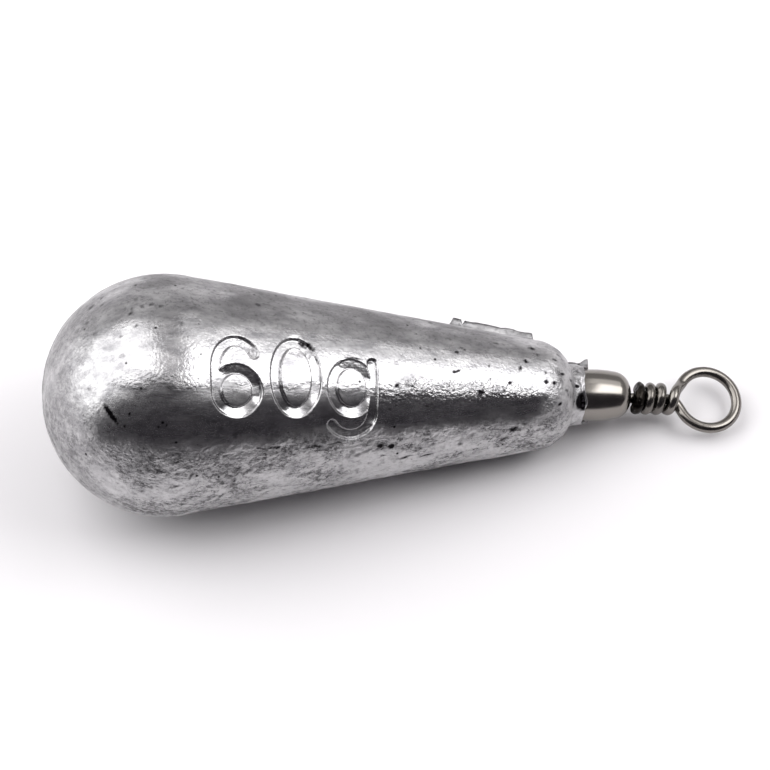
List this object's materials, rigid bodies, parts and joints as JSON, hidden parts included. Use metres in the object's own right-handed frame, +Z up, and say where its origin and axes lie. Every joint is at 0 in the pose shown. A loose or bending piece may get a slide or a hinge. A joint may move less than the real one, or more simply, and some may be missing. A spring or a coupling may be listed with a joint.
{
  "type": "fishing sinker",
  "caption": "Pear-shaped cast lead fishing weight with a barrel swivel cast into its narrow end and a twisted wire line eye.",
  "frame": {"origin": "middle of the part's box, on the surface that the cone's side rests on", "axes": "+X along the part from the butt to the ring, +Z up as it lies, +Y across; the long axis falls towards +X by the cone's half angle"},
  "size_m": [0.0516, 0.0176, 0.0176],
  "materials": {
    "cast_lead": "satin",
    "plated_barrel": "polished",
    "plated_wire": "polished"
  },
  "bodies": {
    "weight": {"lead_body": "cast_lead", "swivel_barrel": "plated_barrel", "anchor_eye": "plated_wire"},
    "free_eye": {"line_eye": "plated_wire"}
  },
  "joints": [
    {"name": "eye_swivel", "type": "hinge", "parent": "weight", "child": "free_eye", "pos_m": [0.01752, 0, 0.00272], "axis": [0.9849, 0, -0.1733], "continuous": true}
  ]
}
